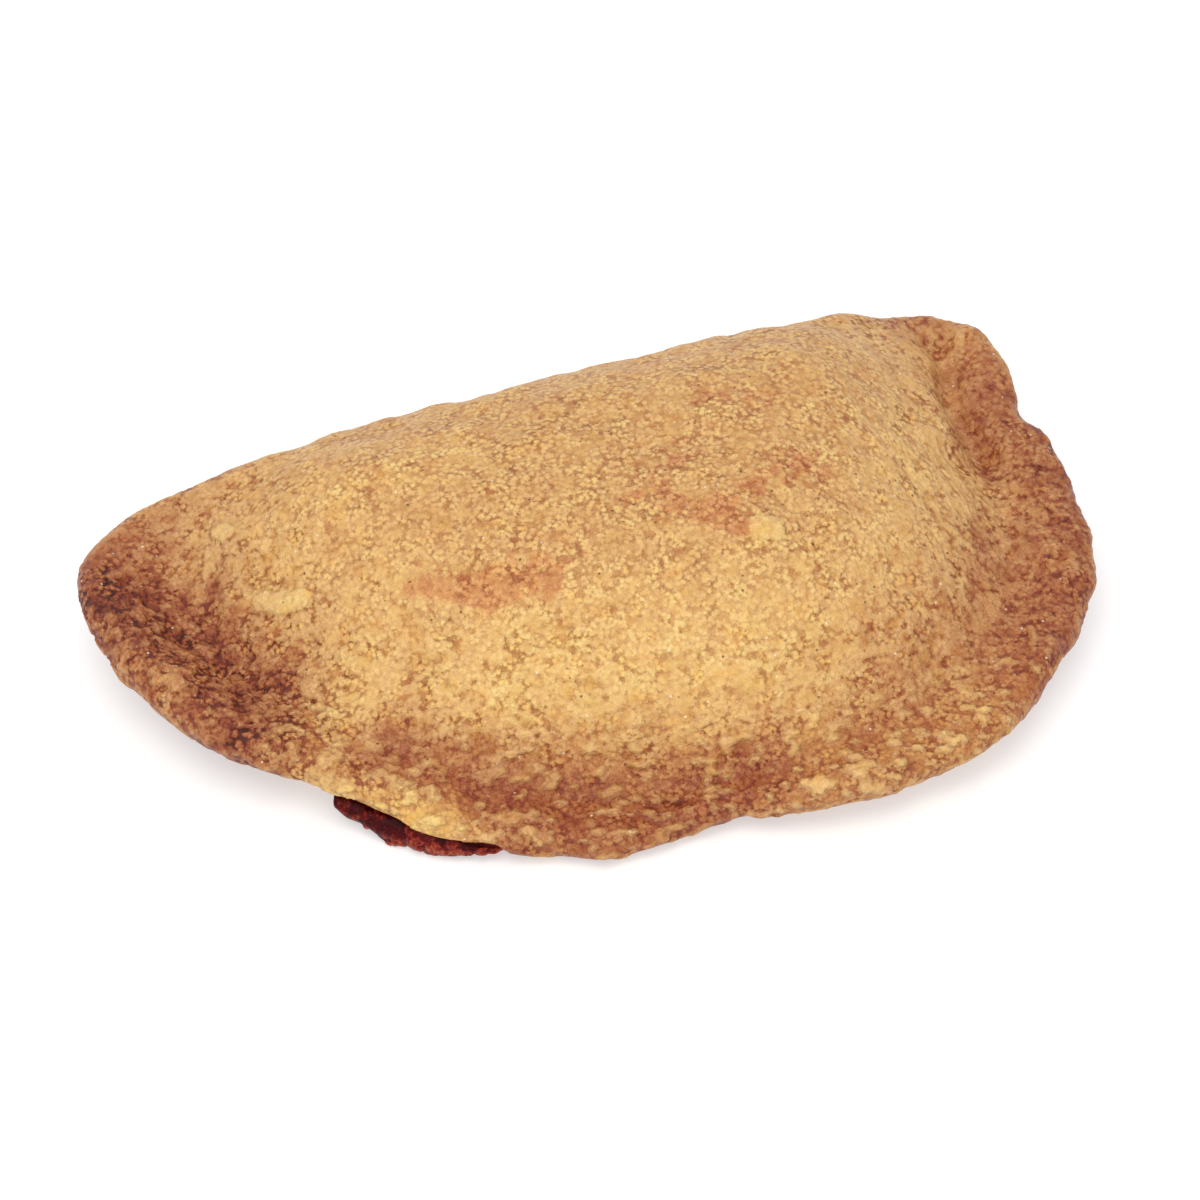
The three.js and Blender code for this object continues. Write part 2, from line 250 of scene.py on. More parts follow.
# Cracks: the width of the waves that they follow (mm), half their own width in the pattern, where the pattern
# of patches breaks them off, depth (mm), and how much darker: painted shade in the cracks
CRACKS = {"wave": 2.2, "half": 0.014, "broken": (-0.05, 0.05), "depth": 0.15, "darker": 0.24}

# Larger pale flakes: how ragged their edge is, where their colour and their slope are, height (mm), and how
# much paler they are
PALE_FLAKE = {"ragged": 2.0, "edge": (0.46, 0.54), "slope": (0.3, 0.7), "height": 0.25, "paler": 0.16}

# Redder patches: how ragged their edge is, where it lies, and how they show less on pale flakes
BLUSH = {"ragged": 3.0, "edge": (0.34, 0.80), "on flakes": (0.22, -0.05, 0.5, 1.0)}

# Flecks, as fine as the surface shows: width (mm), reach from their middle and how ragged they are, in
# widths, how soft the edges of their colour and of their height are, and their steps: how far inside the
# edge a step starts (outside where negative), how much darker it is, its height (mm)
# The darker sunk steps and paler raised steps are partly grains of the crust and partly painted shade in the
# pits and painted highlight on the grains.
FLECKS = {
    "width": 0.85,
    "reach": 0.55,
    "ragged": 0.9,
    "soft": 0.03,
    "slope": 0.08,
    "steps": ((0.0, -0.09, 0.06), (0.18, -0.07, 0.04), (-0.10, 0.05, -0.05), (-0.22, 0.06, -0.06)),
}
# Waves that bend the flecks: width and reach (mm)
FLECKS_BENT = (0.5, 0.14)
# Dark flecks that take the tint of the gaps
FLECKS_TINTED = (0.02, 0.10)
# How strong the flecks are on browned crust, from patch to patch, where it is craggy, and on flakes
FLECKS_BY_BAKE = (0.42, 0.62, 1.0, 0.7)
FLECKS_UNEVEN = (-0.2, 0.2, 0.7, 1.2)
FLECKS_ON_CRAGS = 0.5
FLECKS_BY_PATCH = (-0.12, 0.12, 1.45, 0.5)
FLECKS_ON_FLAKES = (0.0, 1.0, 1.25, 0.5)

# Sandy grain: width (mm), how far it frays the edges of the flakes, how much darker it is, height (mm)
SAND = {"width": 0.26, "frays": 0.12, "darker": 0.36, "height": 0.08}

# Pinholes and glints: width of the field that each has (mm), the shares of fields with a hole and with a
# glint, the radius as a share of the field, where the edge of each lies in radii, and how strongly each
# covers the crust
# The pinholes are dark spots of painted shade, put into the crust's colour only.
SPECKS = {
    # The glints are white spots of painted highlight, in the colour only.
    "width": 2.2, "holes": 0.42, "glints": 0.30, "radius": 0.12,
    "hole edge": (1.0, 0.5), "glint edge": (0.8, 0.6),
    "hole cover": 0.8, "glint cover": 0.75,
}

# Sheen of the crust, and how marked its relief is: in all, and for the shapes that the mesh has already
CRUST_ROUGHNESS = 0.42
CRUST_SPECULAR = 0.3
CRUST_BUMP = 0.9
CRUST_RELIEF = 1.8

# Lumps of the filling: the same values as for the flakes, with waves that bend them (mm) and their edges
MINCE = {
    "width": 1.6, "long": 1.3, "reach": 0.52, "ragged": 1.0,
    "height": 0.35, "paler": 0.2, "darker": 0.22,
}
MINCE_BENT = (1.2, 0.4)
MINCE_EDGE = {"risen": (0.0, 0.1), "shown": (0.0, 0.05), "gap": (-0.03, -0.15)}
# Coarse grain between the lumps: width (mm), detail, height (mm)
FILLING_GRAIN = {"width": 0.9, "detail": 3.0, "height": 0.4}
# Fine grain of its finish: width (mm), detail, roughness, the tones it runs through, height (mm), how marked
FILLING_CRUMB = {
    "width": 0.7, "detail": 4.0, "roughness": 0.65,
    "tones": (0.25, 0.75, 0.14, 0.86), "height": 0.25, "marked": 0.7,
}
# Colours of the filling, from dark to pale, as seen in the studio light, in sRGB
FILLING_COLOURS = (
    (0.00, (62, 3, 8)),
    (0.35, (104, 18, 16)),
    (0.60, (150, 50, 34)),
    (1.00, (196, 100, 66)),
)
# Where it thins out along the lip: path, half width, strength, and by how much (mm)
THINNED = {"right end": (((-27, -33.5), (-32, -30)), 2.2, 1.0)}
THINNED_BY = 0.9
# Heights (mm) between which it darkens towards the lip, and by how much: painted shade where the lip above
# shades it
UNDER_LIP = (1.8, 4.2)
UNDER_LIP_PAINTED_SHADE = 0.4
FILLING_ROUGHNESS = 0.34
FILLING_SPECULAR = 0.1


def own_colour(seen):
    """The linear colour of a surface that looks like these 0 to 255 sRGB values in the studio light."""
    shares = [value / 255 for value in seen]
    linear = [s / 12.92 if s <= 0.04045 else ((s + 0.055) / 1.055) ** 2.4 for s in shares]
    return (*(value / LIT for value in linear), 1.0)


class Wiring:
    """Adds nodes to a tree and joins them, in the same words for a relief and for a finish."""

    def __init__(self, tree):
        self.tree = tree

    def join(self, source, socket):
        """Links a socket to another, or sets its value."""
        if isinstance(source, bpy.types.NodeSocket):
            self.tree.links.new(source, socket)
        else:
            socket.default_value = source

    def node(self, kind, inputs=None, **settings):
        """A node with its settings, and its inputs by name or number."""
        made = self.tree.nodes.new(kind)
        for name, value in settings.items():
            setattr(made, name, value)
        for key, source in (inputs or {}).items():
            self.join(source, made.inputs[key])
        return made

    def math(self, operation, first, second=0.0):
        return self.node("ShaderNodeMath", {0: first, 1: second}, operation=operation).outputs[0]

    def times(self, first, second):
        return self.math("MULTIPLY", first, second)

    def plus(self, first, second):
        return self.math("ADD", first, second)

    def total(self, *values):
        result = values[0]
        for value in values[1:]:
            result = self.plus(result, value)
        return result

    def eased(self, value, low, high, start=0.0, end=1.0):
        """start below low, end above high, and a smooth step between them."""
        inputs = {0: value, 1: low, 2: high, 3: start, 4: end}
        return self.node("ShaderNodeMapRange", inputs, interpolation_type="SMOOTHSTEP").outputs[0]

    def scaled(self, vector, scale):
        inputs = {0: vector, "Scale": scale}
        return self.node("ShaderNodeVectorMath", inputs, operation="SCALE").outputs[0]

    def shifted(self, place, by):
        """place moved along all three axes, where a pattern of the same width has to differ."""
        return self.node("ShaderNodeVectorMath", {0: place, 1: (by,) * 3}, operation="ADD").outputs[0]

    def noise(self, place, width, detail=2.0, roughness=0.5, output=0):
        inputs = {"Vector": place, "Scale": 1 / width, "Detail": detail, "Roughness": roughness}
        return self.node("ShaderNodeTexNoise", inputs).outputs[output]

    def centred_noise(self, place, width, detail=2.0, roughness=0.5):
        """Noise from about -0.5 to 0.5."""
        return self.plus(self.noise(place, width, detail, roughness), -0.5)

    def bent(self, place, width, reach):
        """place, pushed about by up to reach in waves of that width."""
        push = self.noise(place, width, output=1)
        inputs = {0: push, 1: (0.5, 0.5, 0.5)}
        centred = self.node("ShaderNodeVectorMath", inputs, operation="SUBTRACT").outputs[0]
        inputs = {0: centred, 1: (2 * reach,) * 3, 2: place}
        return self.node("ShaderNodeVectorMath", inputs, operation="MULTIPLY_ADD").outputs[0]

    def cells(self, place, width):
        inputs = {"Vector": place, "Scale": 1 / width}
        return self.node("ShaderNodeTexVoronoi", inputs).outputs

    def drawn_out(self, place, angle, length, width):
        """place in steps of that length along an angle in plan, in degrees, and of that width across it."""
        inputs = {"Vector": place, "Angle": -math.radians(angle)}
        turned = self.node("ShaderNodeVectorRotate", inputs, rotation_type="Z_AXIS").outputs[0]
        inputs = {0: turned, 1: (1 / length, 1 / width, 1 / width)}
        return self.node("ShaderNodeVectorMath", inputs, operation="MULTIPLY").outputs[0]

    def islands(self, place, kind):
        """Above 0 on a flake, below 0 between them, at a place in widths of a flake."""
        away = self.cells(place, 1.0)["Distance"]
        ragged = self.times(self.centred_noise(place, RAGGED_WAVE), kind["ragged"])
        return self.plus(self.math("SUBTRACT", kind["reach"], away), ragged)

    def flake_field(self, place, kind):
        """Flakes at a place in mm, which run along the front and, at the blunt end, along that."""
        long = kind["width"] * kind["long"]
        fronts, ends = [
            self.islands(self.drawn_out(place, run, long, kind["width"]), kind) for run in FLAKES_RUN
        ]
        along = self.node("ShaderNodeSeparateXYZ", {0: place}).outputs["X"]
        at_end = self.eased(along, *BLUNT_END_X)
        flakes = self.node("ShaderNodeMix", {0: at_end, 2: fronts, 3: ends}).outputs[0]
        clumps = self.centred_noise(place, CLUMP_WIDTH * kind["width"])
        return self.plus(flakes, self.times(clumps, CLUMPED))

    def specks(self, place, kind):
        """1 in a pinhole and 1 in a glint, 0 elsewhere."""
        outputs = self.cells(place, kind["width"])
        inputs = {0: outputs["Color"], 1: (0.0, 1.0, 0.0)}
        drawn = self.node("ShaderNodeVectorMath", inputs, operation="DOT_PRODUCT").outputs["Value"]
        holed = self.math("GREATER_THAN", drawn, 1.0 - kind["holes"])
        bright = self.math("LESS_THAN", drawn, kind["glints"])
        hole, glint = [
            self.eased(outputs["Distance"], *(share * kind["radius"] for share in kind[edge]))
            for edge in ("hole edge", "glint edge")
        ]
        return self.times(holed, hole), self.times(bright, glint)

    def mixed(self, factor, first, second, blend_type="MIX"):
        inputs = {0: factor, 6: first, 7: second}
        made = self.node("ShaderNodeMix", inputs, data_type="RGBA", blend_type=blend_type)
        return made.outputs[2]

    def tinted(self, colour, tint, factor):
        return self.mixed(factor, colour, tint, "MULTIPLY")

    def ramp(self, value, stops):
        """The colour of a value between stops, each a value and a colour as seen in the studio light."""
        made = self.node("ShaderNodeValToRGB", {0: value})
        elements = made.color_ramp.elements
        while len(elements) < len(stops):
            elements.new(0.5)
        for element, (position, colour) in zip(elements, stops):
            element.position = position
            element.color = own_colour(colour)
        return made.outputs[0]

    def keep(self, geometry, name, value, data_type):
        """Keeps a value on the mesh's points, in a geometry tree."""
        inputs = {"Geometry": geometry, "Name": name, "Value": value}
        settings = {"data_type": data_type, "domain": "POINT"}
        return self.node("GeometryNodeStoreNamedAttribute", inputs, **settings).outputs[0]


def read_in_tree(wires, name):
    """A float attribute of the mesh, in a geometry tree."""
    return wires.node("GeometryNodeInputNamedAttribute", {"Name": name}, data_type="FLOAT").outputs[0]


def read_in_finish(wires, name):
    """A float attribute of the mesh, in a material."""
    return wires.node("ShaderNodeAttribute", attribute_name=name).outputs["Fac"]


def rest_place(wires):
    """Where a point of the surface was before the relief, in mm, in a material."""
    return wires.scaled(wires.node("ShaderNodeAttribute", attribute_name="rest").outputs["Vector"], 1 / MM)


def pick_out(piece):
    """Leaves piece alone selected and active."""
    bpy.ops.object.select_all(action="DESELECT")
    piece.select_set(True)
    bpy.context.view_layer.objects.active = piece


def copy_of_node(node, name):
    """A new piece with a merged copy of a CAD node's mesh."""
    piece = bpy.data.objects.new(name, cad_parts[node].data.copy())
    bpy.context.scene.collection.objects.link(piece)
    piece.data.materials.clear()
    pick_out(piece)
    bpy.ops.object.mode_set(mode="EDIT")
    bpy.ops.mesh.select_all(action="SELECT")
    bpy.ops.mesh.remove_doubles(threshold=MERGE * MM)
    bpy.ops.object.mode_set(mode="OBJECT")
    return piece


def apply_modifier(piece, kind, **settings):
    modifier = piece.modifiers.new(kind.lower(), kind)
    for name, value in settings.items():
        setattr(modifier, name, value)
    bpy.ops.object.modifier_apply(modifier=modifier.name)


def smooth(piece, turns):
    apply_modifier(piece, "SMOOTH", factor=SMOOTHING, iterations=turns)


def remesh(piece, size):
    piece.data.remesh_voxel_size = size * MM
    bpy.ops.object.voxel_remesh()


def read_vectors(items, name):
    flat = np.empty(len(items) * 3, np.float32)
    items.foreach_get(name, flat)
    return flat.reshape(-1, 3).astype(float)


def write_points(piece, points):
    piece.data.vertices.foreach_set("co", points.astype(np.float32).ravel())
    piece.data.update()


def store(piece, name, values):
    """Keeps a number for each point on the mesh."""
    piece.data.attributes.new(name, "FLOAT", "POINT").data.foreach_set("value", values.astype(np.float32))


def close_to(points, node, reach):
    """Which of the points are within reach of a CAD node's surface."""
    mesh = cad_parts[node].data
    tree = BVHTree.FromPolygons([v.co for v in mesh.vertices], [p.vertices for p in mesh.polygons])
    found = [tree.find_nearest(Vector(point), reach * MM)[0] is not None for point in points]
    return np.array(found)


def select_faces(piece, chosen):
    """Goes into edit mode with only the chosen faces selected."""
    bpy.context.tool_settings.mesh_select_mode = (False, False, True)
    bpy.ops.object.mode_set(mode="EDIT")
    bpy.ops.mesh.select_all(action="DESELECT")
    bpy.ops.object.mode_set(mode="OBJECT")
    piece.data.polygons.foreach_set("select", chosen)
    bpy.ops.object.mode_set(mode="EDIT")


def thin_out(piece, chosen):
    """Leaves a small share of the chosen faces, where they don't show."""
    select_faces(piece, chosen)
    bpy.ops.mesh.decimate(ratio=HIDDEN_SHARE)
    bpy.ops.object.mode_set(mode="OBJECT")


def nearness(points, path, half_width):
    """1 on a path in plan, a half at half_width from it and 0 at twice that, for points in mm."""
    nearest = np.full(len(points), np.inf)
    for start, end in zip(path, path[1:]):
        a = np.array(start, float)
        along = np.array(end, float) - a
        share = np.clip((points[:, :2] - a) @ along / (along @ along), 0, 1)
        away = points[:, :2] - a - share[:, None] * along
        nearest = np.minimum(nearest, np.hypot(away[:, 0], away[:, 1]))
    left = np.clip(1 - nearest / (2 * half_width), 0, 1)
    return left * left * (3 - 2 * left)


def spread(points, zones):
    """How strongly zones cover the points, where zones that overlap add up but never pass 1."""
    bare = np.ones(len(points))
    for path, half_width, strength in zones.values():
        bare *= 1 - strength * nearness(points, path, half_width)
    return 1 - bare


def on_top(normals):
    """1 where a surface faces up, 0 where it is steep or faces down."""
    return np.clip(normals[:, 2] / TOP_NORMAL, 0, 1)


def ease(piece, zones):
    """Smooths the piece in some zones of its top only."""
    shares = spread(read_vectors(piece.data.vertices, "co") / MM, zones)
    shares *= on_top(read_vectors(piece.data.vertex_normals, "vector"))
    group = piece.vertex_groups.new(name="eased")
    for index in np.nonzero(shares)[0]:
        group.add([int(index)], shares[index], "REPLACE")
    apply_modifier(piece, "SMOOTH", factor=SMOOTHING, iterations=EASED_TURNS, vertex_group=group.name)
    piece.vertex_groups.clear()


def press(piece):
    """Presses the creases and swells into the top of the crust."""
    points = read_vectors(piece.data.vertices, "co")
    normals = read_vectors(piece.data.vertex_normals, "vector")
    height = np.zeros(len(points))
    for path, half_width, by in PRESSED.values():
        height += by * nearness(points / MM, path, half_width)
    height *= on_top(normals)
    points += normals * height[:, None] * MM
    write_points(piece, points)


def keep_above_floor(piece):
    points = read_vectors(piece.data.vertices, "co")
    points[:, 2] = np.maximum(points[:, 2], 0)
    write_points(piece, points)


def raise_relief(piece, fields_of, height_of, name):
    """Moves the piece's points out by a pattern's height, and keeps the pattern and the old places on it."""
    tree = bpy.data.node_groups.new(name, "GeometryNodeTree")
    tree.interface.new_socket("Geometry", in_out="INPUT", socket_type="NodeSocketGeometry")
    tree.interface.new_socket("Geometry", in_out="OUTPUT", socket_type="NodeSocketGeometry")
    wires = Wiring(tree)
    geometry = wires.node("NodeGroupInput").outputs[0]
    position = wires.node("GeometryNodeInputPosition").outputs[0]
    normal = wires.node("GeometryNodeInputNormal").outputs[0]
    fields = fields_of(wires, wires.scaled(position, 1 / MM))
    height = height_of(wires, fields)
    geometry = wires.keep(geometry, "rest", position, "FLOAT_VECTOR")
    geometry = wires.keep(geometry, "relief", height, "FLOAT")
    for field, value in fields.items():
        geometry = wires.keep(geometry, field, value, "FLOAT")
    offset = wires.scaled(normal, wires.times(wires.times(height, read_in_tree(wires, "shown")), MM))
    moved = wires.node("GeometryNodeSetPosition", {"Geometry": geometry, "Offset": offset})
    wires.node("NodeGroupOutput", {0: moved.outputs[0]})
    apply_modifier(piece, "NODES", node_group=tree)
    keep_above_floor(piece)


def new_finish(name):
    """A material, its wiring and its shader node."""
    material = bpy.data.materials.new(name)
    material.use_nodes = True
    shader = material.node_tree.nodes["Principled BSDF"]
    return material, Wiring(material.node_tree), shader


def wrinkles(wires, place, zone, kind):
    """The height of ridges that run at an angle in plan, where the zone is 1, in mm."""
    drawn_out = wires.drawn_out(place, kind["run"], kind["length"], kind["width"])
    return wires.times(wires.centred_noise(drawn_out, 1.0), wires.times(zone, kind["height"]))


def crust_fields(wires, place):
    """The crust's patterns at a place in mm, by the names under which the mesh keeps them."""
    bent = wires.bent(place, *FLAKES_BENT)
    fields = {name: wires.flake_field(bent, kind) for name, kind in FLAKES.items()}
    fields["cracks"] = wires.centred_noise(bent, CRACKS["wave"])
    for name, (moved, *pattern) in PATCHES.items():
        fields[name] = wires.centred_noise(wires.shifted(place, moved), *pattern)
    ridges = [wrinkles(wires, place, read_in_tree(wires, name), kind) for name, kind in WRINKLES.items()]
    fields["ridges"] = wires.total(*ridges)
    return fields


def flake_shares(wires, read, fields):
    """How strongly each kind of flake stands at a place."""
    craggy = read(wires, "craggy")
    flaked = read(wires, "flaked")
    even = wires.eased(fields["uneven"], *SCALES_UNEVEN)
    level = wires.math("SUBTRACT", 1.0, craggy)
    scales = wires.times(wires.times(read(wires, "flaky"), even), level)
    scales = wires.times(scales, wires.eased(flaked, *SCALES_AMONG_CHIPS))
    return {"chips": wires.times(flaked, level), "scales": scales, "lumps": craggy}


def crack_lines(wires, read, fields):
    """1 in a crack of the craggy crust, 0 elsewhere."""
    line = wires.eased(wires.math("ABSOLUTE", fields["cracks"]), CRACKS["half"], 0.0)
    broken = wires.times(wires.eased(fields["patchy"], *CRACKS["broken"]), read(wires, "craggy"))
    return wires.times(line, broken)


def crust_height(wires, fields):
    """The height of the crust's flakes, cracks and wrinkles, in mm."""
    shares = flake_shares(wires, read_in_tree, fields)
    heights = [fields["ridges"]]
    for name, kind in FLAKES.items():
        risen = wires.eased(fields[name], *FLAKE_EDGE["risen"])
        heights.append(wires.times(wires.times(risen, kind["height"]), shares[name]))
    heights.append(wires.times(crack_lines(wires, read_in_tree, fields), -CRACKS["depth"]))
    pale = wires.eased(read_in_tree(wires, "pale"), *PALE_FLAKE["slope"])
    heights.append(wires.times(pale, PALE_FLAKE["height"]))
    return wires.total(*heights)


def crust_tones(wires, fields):
    """How much paler the crust's flakes, cracks and wrinkles make it, its gaps, and its flakes."""
    shares = flake_shares(wires, read_in_finish, fields)
    paler = [wires.times(fields["ridges"], WRINKLES_PALER)]
    gaps = []
    flakes = []
    for name, kind in FLAKES.items():
        shown, top, gap = [wires.eased(fields[name], *FLAKE_EDGE[part]) for part in ("shown", "top", "gap")]
        pale = wires.plus(
            wires.times(shown, kind["paler"]),
            wires.times(top, FLAKE_TOP_PALER * kind["paler"]),
        )
        # Gaps: darker, partly browner crust and partly painted shade between the flakes.
        tone = wires.plus(pale, wires.times(gap, -kind["darker"]))
        paler.append(wires.times(tone, shares[name]))
        gaps.append(wires.times(gap, shares[name]))
        flakes.append(wires.times(shown, shares[name]))
    # Cracks: painted shade, darker than the crust around them.
    paler.append(wires.times(crack_lines(wires, read_in_finish, fields), -CRACKS["darker"]))
    ragged = wires.times(fields["patchy"], PALE_FLAKE["ragged"])
    pale = wires.eased(wires.plus(read_in_finish(wires, "pale"), ragged), *PALE_FLAKE["edge"])
    flakes.append(pale)
    tones = {"paler": paler, "gap": gaps, "flake": flakes}
    return {"pale": pale, **{name: wires.total(*values) for name, values in tones.items()}}


def flecks(wires, place):
    """The finest steps of the crust: how much darker they are, and their height in mm."""
    inside = wires.islands(wires.scaled(place, 1 / FLECKS["width"]), FLECKS)
    darker = []
    heights = []
    for start, dark, height in FLECKS["steps"]:
        way = math.copysign(1.0, height)
        shown = wires.eased(inside, start, start + way * FLECKS["soft"])
        risen = wires.eased(inside, start - way * FLECKS["slope"], start + way * FLECKS["slope"])
        # Darker sunk steps and paler raised ones: partly painted shade and painted highlight.
        darker.append(wires.times(shown, dark))
        heights.append(wires.times(risen, height))
    return wires.total(*darker), wires.total(*heights)


def fleck_strength(wires, fields, bake, flake):
    """How strongly the flecks show at a place."""
    by_bake = wires.eased(bake, *FLECKS_BY_BAKE)
    even = wires.eased(fields["uneven"], *FLECKS_UNEVEN)
    on_crags = wires.times(read_in_finish(wires, "craggy"), FLECKS_ON_CRAGS)
    strength = wires.plus(wires.times(by_bake, even), on_crags)
    strength = wires.times(strength, wires.eased(fields["olive"], *FLECKS_BY_PATCH))
    return wires.times(strength, wires.eased(flake, *FLECKS_ON_FLAKES))


def crust_colour(wires, fields, tones, tone, dark):
    """The crust's colour for a tone, with its tints."""
    colour = wires.ramp(tone, BAKE_COLOURS)
    for name, tint in (("warm", ORANGE_TINT), ("olive", OLIVE_TINT)):
        colour = wires.tinted(colour, tint, wires.eased(fields[name], *PATCHES_TINTED))
    gap = wires.plus(tones["gap"], wires.eased(dark, *FLECKS_TINTED))
    colour = wires.tinted(colour, GAP_TINT, gap)
    colour = wires.tinted(colour, PALE_TINT, tones["pale"])
    blush = wires.plus(read_in_finish(wires, "blush"), wires.times(fields["patchy"], BLUSH["ragged"]))
    blush = wires.eased(blush, *BLUSH["edge"])
    blush = wires.times(blush, wires.eased(tones["paler"], *BLUSH["on flakes"]))
    return wires.tinted(colour, BLUSH_TINT, blush)


def crust_finish():
    material, wires, shader = new_finish("baked crust")
    place = rest_place(wires)
    sand = wires.centred_noise(place, SAND["width"])
    near = wires.bent(place, *FLECKS_BENT)
    hole, glint = wires.specks(near, SPECKS)
    names = (*FLAKES, "cracks", *PATCHES, "ridges")
    fields = {name: read_in_finish(wires, name) for name in names}
    for name in (*FLAKES, "cracks", "patchy"):
        fields[name] = wires.plus(fields[name], wires.times(sand, SAND["frays"]))
    bake = read_in_finish(wires, "bake")
    tones = crust_tones(wires, fields)
    strength = fleck_strength(wires, fields, bake, tones["flake"])
    dark, height = [wires.times(value, strength) for value in flecks(wires, near)]
    tone = wires.total(
        bake,
        wires.times(fields["mottle"], MOTTLE_DARKER),
        wires.times(sand, SAND["darker"]),
        dark,
        wires.times(tones["paler"], -1.0),
        wires.times(tones["pale"], -PALE_FLAKE["paler"]),
    )
    colour = crust_colour(wires, fields, tones, tone, dark)
    # Pinholes: painted shade, dark spots with no depth.
    colour = wires.mixed(wires.times(hole, SPECKS["hole cover"]), colour, own_colour(PAINTED_PINHOLE_SHADE))
    # Glints: painted highlight, white specks in the colour.
    colour = wires.mixed(wires.times(glint, SPECKS["glint cover"]), colour, own_colour(PAINTED_GLINT_COLOUR))
    heights = wires.total(
        wires.times(read_in_finish(wires, "relief"), CRUST_RELIEF),
        height,
        wires.times(sand, SAND["height"]),
    )
    bump = wires.node("ShaderNodeBump", {"Height": heights, "Distance": MM, "Strength": CRUST_BUMP})
    wires.join(colour, shader.inputs["Base Color"])
    wires.join(bump.outputs[0], shader.inputs["Normal"])
    shader.inputs["Roughness"].default_value = CRUST_ROUGHNESS
    shader.inputs["Specular IOR Level"].default_value = CRUST_SPECULAR
    return material


def refine_outside(piece):
    """A finer mesh where the crust shows."""
    centres = read_vectors(piece.data.polygons, "center")
    normals = read_vectors(piece.data.polygons, "normal")
    outside = ~close_to(centres, "filling", POCKET_REACH) & (normals[:, 2] >= UNDERSIDE_NORMAL)
    select_faces(piece, outside)
    bpy.ops.mesh.subdivide(number_cuts=1)
    bpy.ops.object.mode_set(mode="OBJECT")


def mark_crust(piece):
    """Keeps on the mesh how far each point is baked, and where its kinds of flakes and patches are."""
    points = read_vectors(piece.data.vertices, "co") / MM
    browned = BAKE_ALL_OVER + (1 - BAKE_ALL_OVER) * spread(points, BROWNED)
    store(piece, "bake", browned * (1 - spread(points, SHELTERED)))
    zones = {"craggy": CRAGGY, "flaked": FLAKED, "blush": BLUSHED, "pale": PALE}
    zones.update({name: kind["zone"] for name, kind in WRINKLES.items()})
    for name, zone in zones.items():
        store(piece, name, spread(points, zone))
    low, high = SCALES_THIN_OUT
    lower = np.clip((high - points[:, 2]) / (high - low), 0, 1)
    store(piece, "flaky", SCALES_ON_TOP + (1 - SCALES_ON_TOP) * lower)
    store(piece, "shown", 1.0 - close_to(points * MM, "filling", POCKET_REACH))


def bake_crust():
    """The pastry, from the CAD node: rounded, with fine relief where it shows."""
    piece = copy_of_node("pastry", "crust")
    remesh(piece, CRUST_VOXEL)
    smooth(piece, CRUST_TURNS)
    thin_out(piece, close_to(read_vectors(piece.data.polygons, "center"), "filling", POCKET_REACH))
    refine_outside(piece)
    smooth(piece, FINE_CRUST_TURNS)
    ease(piece, EASED_FOOT)
    press(piece)
    mark_crust(piece)
    raise_relief(piece, crust_fields, crust_height, "crust relief")
    bpy.ops.object.shade_smooth()
    piece.data.materials.append(crust_finish())
    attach(piece, "root")
    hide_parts("pastry")


def filling_fields(wires, place):
    """The filling's patterns at a place in mm, by the names under which the mesh keeps them."""
    grain = wires.noise(place, FILLING_GRAIN["width"], FILLING_GRAIN["detail"])
    return {"lumps": wires.flake_field(wires.bent(place, *MINCE_BENT), MINCE), "grain": grain}


def filling_height(wires, fields):
    """The height of the filling's lumps and grain, less where it thins out, in mm."""
    lumps = wires.times(wires.eased(fields["lumps"], *MINCE_EDGE["risen"]), MINCE["height"])
    grain = wires.times(wires.plus(fields["grain"], -0.5), FILLING_GRAIN["height"])
    thinned = wires.times(read_in_tree(wires, "thinned"), -THINNED_BY)
    return wires.total(lumps, grain, thinned)


def filling_finish():
    material, wires, shader = new_finish("stewed filling")
    place = rest_place(wires)
    inside = read_in_finish(wires, "lumps")
    crumb = [FILLING_CRUMB[name] for name in ("width", "detail", "roughness")]
    grain = wires.noise(place, *crumb)
    up = wires.node("ShaderNodeSeparateXYZ", {0: place}).outputs["Z"]
    tone = wires.total(
        wires.times(wires.eased(inside, *MINCE_EDGE["shown"]), MINCE["paler"]),
        wires.eased(inside, *MINCE_EDGE["gap"], 0.0, -MINCE["darker"]),
        wires.eased(grain, *FILLING_CRUMB["tones"]),
        # Painted shade under the lip: darker higher up, towards the lip.
        wires.eased(up, *UNDER_LIP, 0.0, -UNDER_LIP_PAINTED_SHADE),
    )
    colour = wires.ramp(tone, FILLING_COLOURS)
    inputs = {
        "Height": grain,
        "Distance": FILLING_CRUMB["height"] * MM,
        "Strength": FILLING_CRUMB["marked"],
    }
    bump = wires.node("ShaderNodeBump", inputs)
    wires.join(colour, shader.inputs["Base Color"])
    wires.join(bump.outputs[0], shader.inputs["Normal"])
    shader.inputs["Roughness"].default_value = FILLING_ROUGHNESS
    shader.inputs["Specular IOR Level"].default_value = FILLING_SPECULAR
    return material


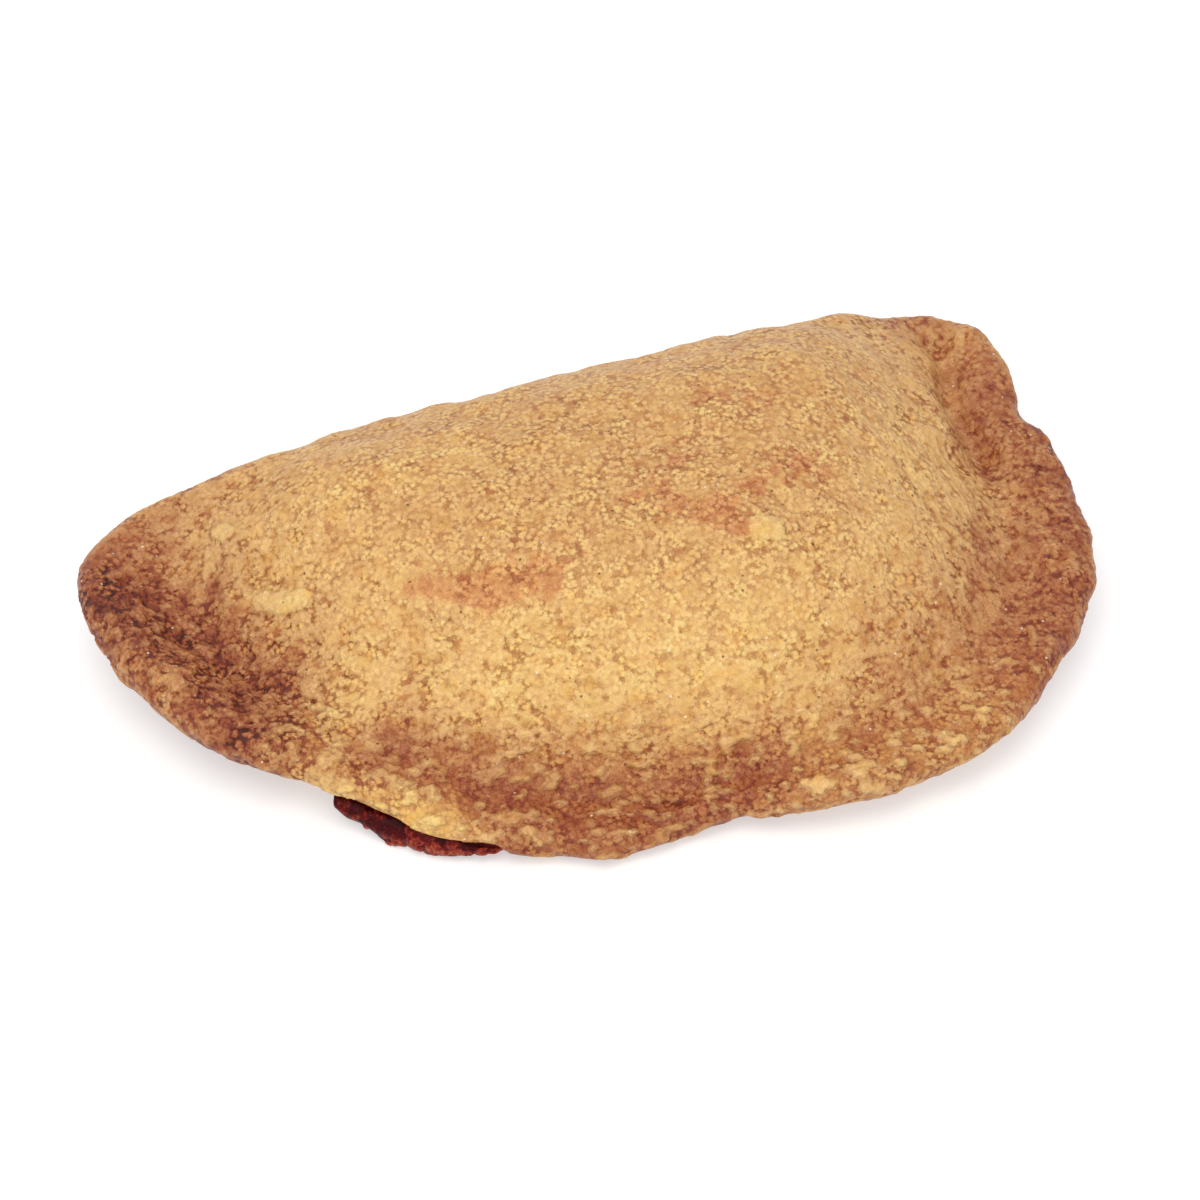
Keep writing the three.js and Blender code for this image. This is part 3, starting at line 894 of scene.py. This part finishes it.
def cook_filling():
    """The filling, from the CAD node, with a crumbly face where it has run out."""
    piece = copy_of_node("filling", "filling_mince")
    remesh(piece, FILLING_VOXEL)
    smooth(piece, FILLING_TURNS)
    centres = read_vectors(piece.data.polygons, "center")
    hidden = centres[:, 1] > FILLING_HIDDEN_FROM * MM
    thin_out(piece, close_to(centres, "pastry", POCKET_REACH) & hidden)
    points = read_vectors(piece.data.vertices, "co")
    store(piece, "shown", 1.0 - (points[:, 1] > FILLING_HIDDEN_FROM * MM))
    store(piece, "thinned", spread(points / MM, THINNED))
    raise_relief(piece, filling_fields, filling_height, "filling relief")
    bpy.ops.object.shade_smooth()
    piece.data.materials.append(filling_finish())
    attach(piece, "root")
    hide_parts("filling")


def lay_floor():
    bpy.ops.mesh.primitive_plane_add(size=FLOOR_SIZE, location=(0, 0, -FLOOR_DROP * MM))
    floor = bpy.context.active_object
    floor.name = "floor"
    material, _, shader = new_finish("white floor")
    shader.inputs["Base Color"].default_value = FLOOR_COLOUR
    shader.inputs["Roughness"].default_value = FLOOR_ROUGHNESS
    shader.inputs["Emission Color"].default_value = FLOOR_GLOW_COLOUR
    shader.inputs["Emission Strength"].default_value = FLOOR_GLOW
    floor.data.materials.append(material)


def add_light(name, place, size, power, colour):
    """A square soft light at a place in metres, turned to the object."""
    data = bpy.data.lights.new(name, "AREA")
    data.size = size
    data.energy = power
    data.color = colour
    light = bpy.data.objects.new(name, data)
    light.location = place
    light.rotation_mode = "QUATERNION"
    light.rotation_quaternion = (-Vector(place)).to_track_quat("-Z", "Y")
    bpy.context.scene.collection.objects.link(light)


def light_studio():
    world = bpy.data.worlds.new("studio")
    world.use_nodes = True
    sky = world.node_tree.nodes["Background"]
    sky.inputs["Color"].default_value = SKY_COLOUR
    sky.inputs["Strength"].default_value = SKY_STRENGTH
    bpy.context.scene.world = world
    add_light("overhead", **OVERHEAD)
    bpy.context.scene.view_settings.view_transform = "Standard"


def set_camera():
    data = bpy.data.cameras.new("camera")
    data.lens = LENS
    data.sensor_width = SENSOR
    camera = bpy.data.objects.new("camera", data)
    azimuth = math.radians(CAMERA_AZIMUTH)
    elevation = math.radians(CAMERA_ELEVATION)
    level = math.cos(elevation)
    back = Vector((math.sin(azimuth) * level, -math.cos(azimuth) * level, math.sin(elevation)))
    camera.location = (Vector(LOOK_AT) + back * CAMERA_DISTANCE) * MM
    camera.rotation_mode = "QUATERNION"
    camera.rotation_quaternion = (-back).to_track_quat("-Z", "Y")
    bpy.context.scene.collection.objects.link(camera)
    bpy.context.scene.camera = camera


set_camera()
light_studio()
lay_floor()
bake_crust()
cook_filling()
